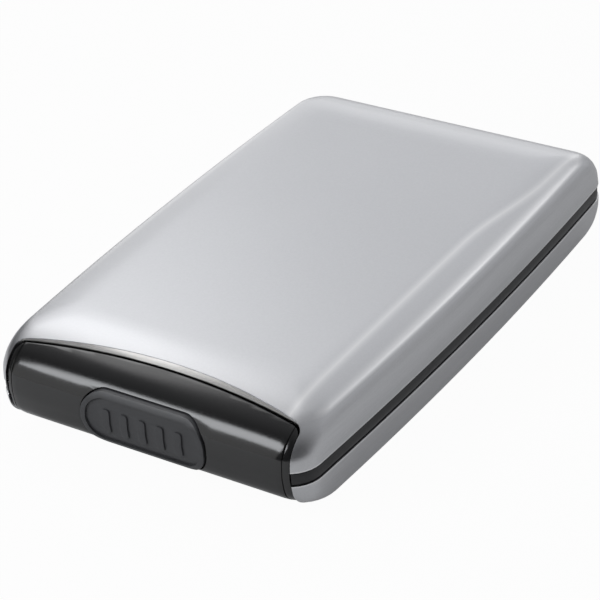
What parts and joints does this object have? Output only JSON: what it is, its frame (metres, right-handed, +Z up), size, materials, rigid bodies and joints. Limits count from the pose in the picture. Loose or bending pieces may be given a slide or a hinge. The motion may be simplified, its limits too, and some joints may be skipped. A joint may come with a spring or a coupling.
{
  "type": "pop up card holder",
  "caption": "Slim pop up card holder: two satin aluminium shells on a black frame, glossy end cap with an oval push button, lid that fans out card pockets.",
  "frame": {"origin": "middle of the case's underside", "axes": "+X across the case, +Y along it towards the lid's hinge with the push button at -Y, +Z up"},
  "size_m": [0.0688, 0.1099, 0.019],
  "materials": {
    "aluminium": "satin anodised, fine brushed sides",
    "black_plastic": "satin moulded",
    "gloss_black": "high gloss moulded",
    "button_plastic": "fine matt with a polished rim",
    "steel": "bright spring steel",
    "pocket_plastic": "thin smoke grey moulding",
    "cloth": "coated gusset cloth",
    "felt": "thin felt"
  },
  "bodies": {
    "case": {"centre_frame": "black_plastic", "lower_shell": "aluminium", "end_cap": "gloss_black", "hinge_pin": "steel", "pocket_pin": "steel", "latch_spring": "steel", "latch_screw_left": "steel", "latch_screw_right": "steel", "cap_screw_left": "steel", "cap_screw_right": "steel", "button_spring_left": "steel", "button_spring_right": "steel", "lid_spring_left": "steel", "lid_spring_right": "steel", "gusset_left": "cloth", "gusset_right": "cloth", "floor_pad": "felt"},
    "lid": {"upper_shell": "aluminium", "lid_liner": "black_plastic", "catch_plate": "steel", "catch_screw_left": "steel", "catch_screw_right": "steel", "lid_pad": "felt"},
    "button": {"release_button": "button_plastic"},
    "pocket_1": {"card_pocket_1": "pocket_plastic"},
    "pocket_2": {"card_pocket_2": "pocket_plastic"},
    "pocket_3": {"card_pocket_3": "pocket_plastic"},
    "pocket_4": {"card_pocket_4": "pocket_plastic"},
    "pocket_5": {"card_pocket_5": "pocket_plastic"}
  },
  "joints": [
    {"name": "lid_hinge", "type": "hinge", "parent": "case", "child": "lid", "pos_m": [0, 0.0522, 0.011], "axis": [-1, 0, 0], "range_deg": [0, 36], "deforming": ["lid_spring_left", "lid_spring_right", "gusset_left", "gusset_right"]},
    {"name": "button_press", "type": "slide", "parent": "case", "child": "button", "axis": [0, 1, 0], "range_m": [0, 0.0013], "stiffness_N_per_m": 150, "springref_m": -0.0004, "deforming": ["button_spring_left", "button_spring_right", "latch_spring"]},
    {"name": "pocket_1_turn", "type": "hinge", "parent": "case", "child": "pocket_1", "pos_m": [0, 0.0466, 0.0072], "axis": [-1, 0, 0], "range_deg": [0, 6]},
    {"name": "pocket_2_turn", "type": "hinge", "parent": "pocket_1", "child": "pocket_2", "pos_m": [0, 0.0466, 0.0072], "axis": [-1, 0, 0], "range_deg": [0, 6]},
    {"name": "pocket_3_turn", "type": "hinge", "parent": "pocket_2", "child": "pocket_3", "pos_m": [0, 0.0466, 0.0072], "axis": [-1, 0, 0], "range_deg": [0, 6]},
    {"name": "pocket_4_turn", "type": "hinge", "parent": "pocket_3", "child": "pocket_4", "pos_m": [0, 0.0466, 0.0072], "axis": [-1, 0, 0], "range_deg": [0, 6]},
    {"name": "pocket_5_turn", "type": "hinge", "parent": "pocket_4", "child": "pocket_5", "pos_m": [0, 0.0466, 0.0072], "axis": [-1, 0, 0], "range_deg": [0, 6]}
  ],
  "couplings": [
    {"joint": "pocket_1_turn", "follows": "lid_hinge", "ratio": 0.16666},
    {"joint": "pocket_2_turn", "follows": "lid_hinge", "ratio": 0.16666},
    {"joint": "pocket_3_turn", "follows": "lid_hinge", "ratio": 0.16666},
    {"joint": "pocket_4_turn", "follows": "lid_hinge", "ratio": 0.16666},
    {"joint": "pocket_5_turn", "follows": "lid_hinge", "ratio": 0.16666}
  ]
}
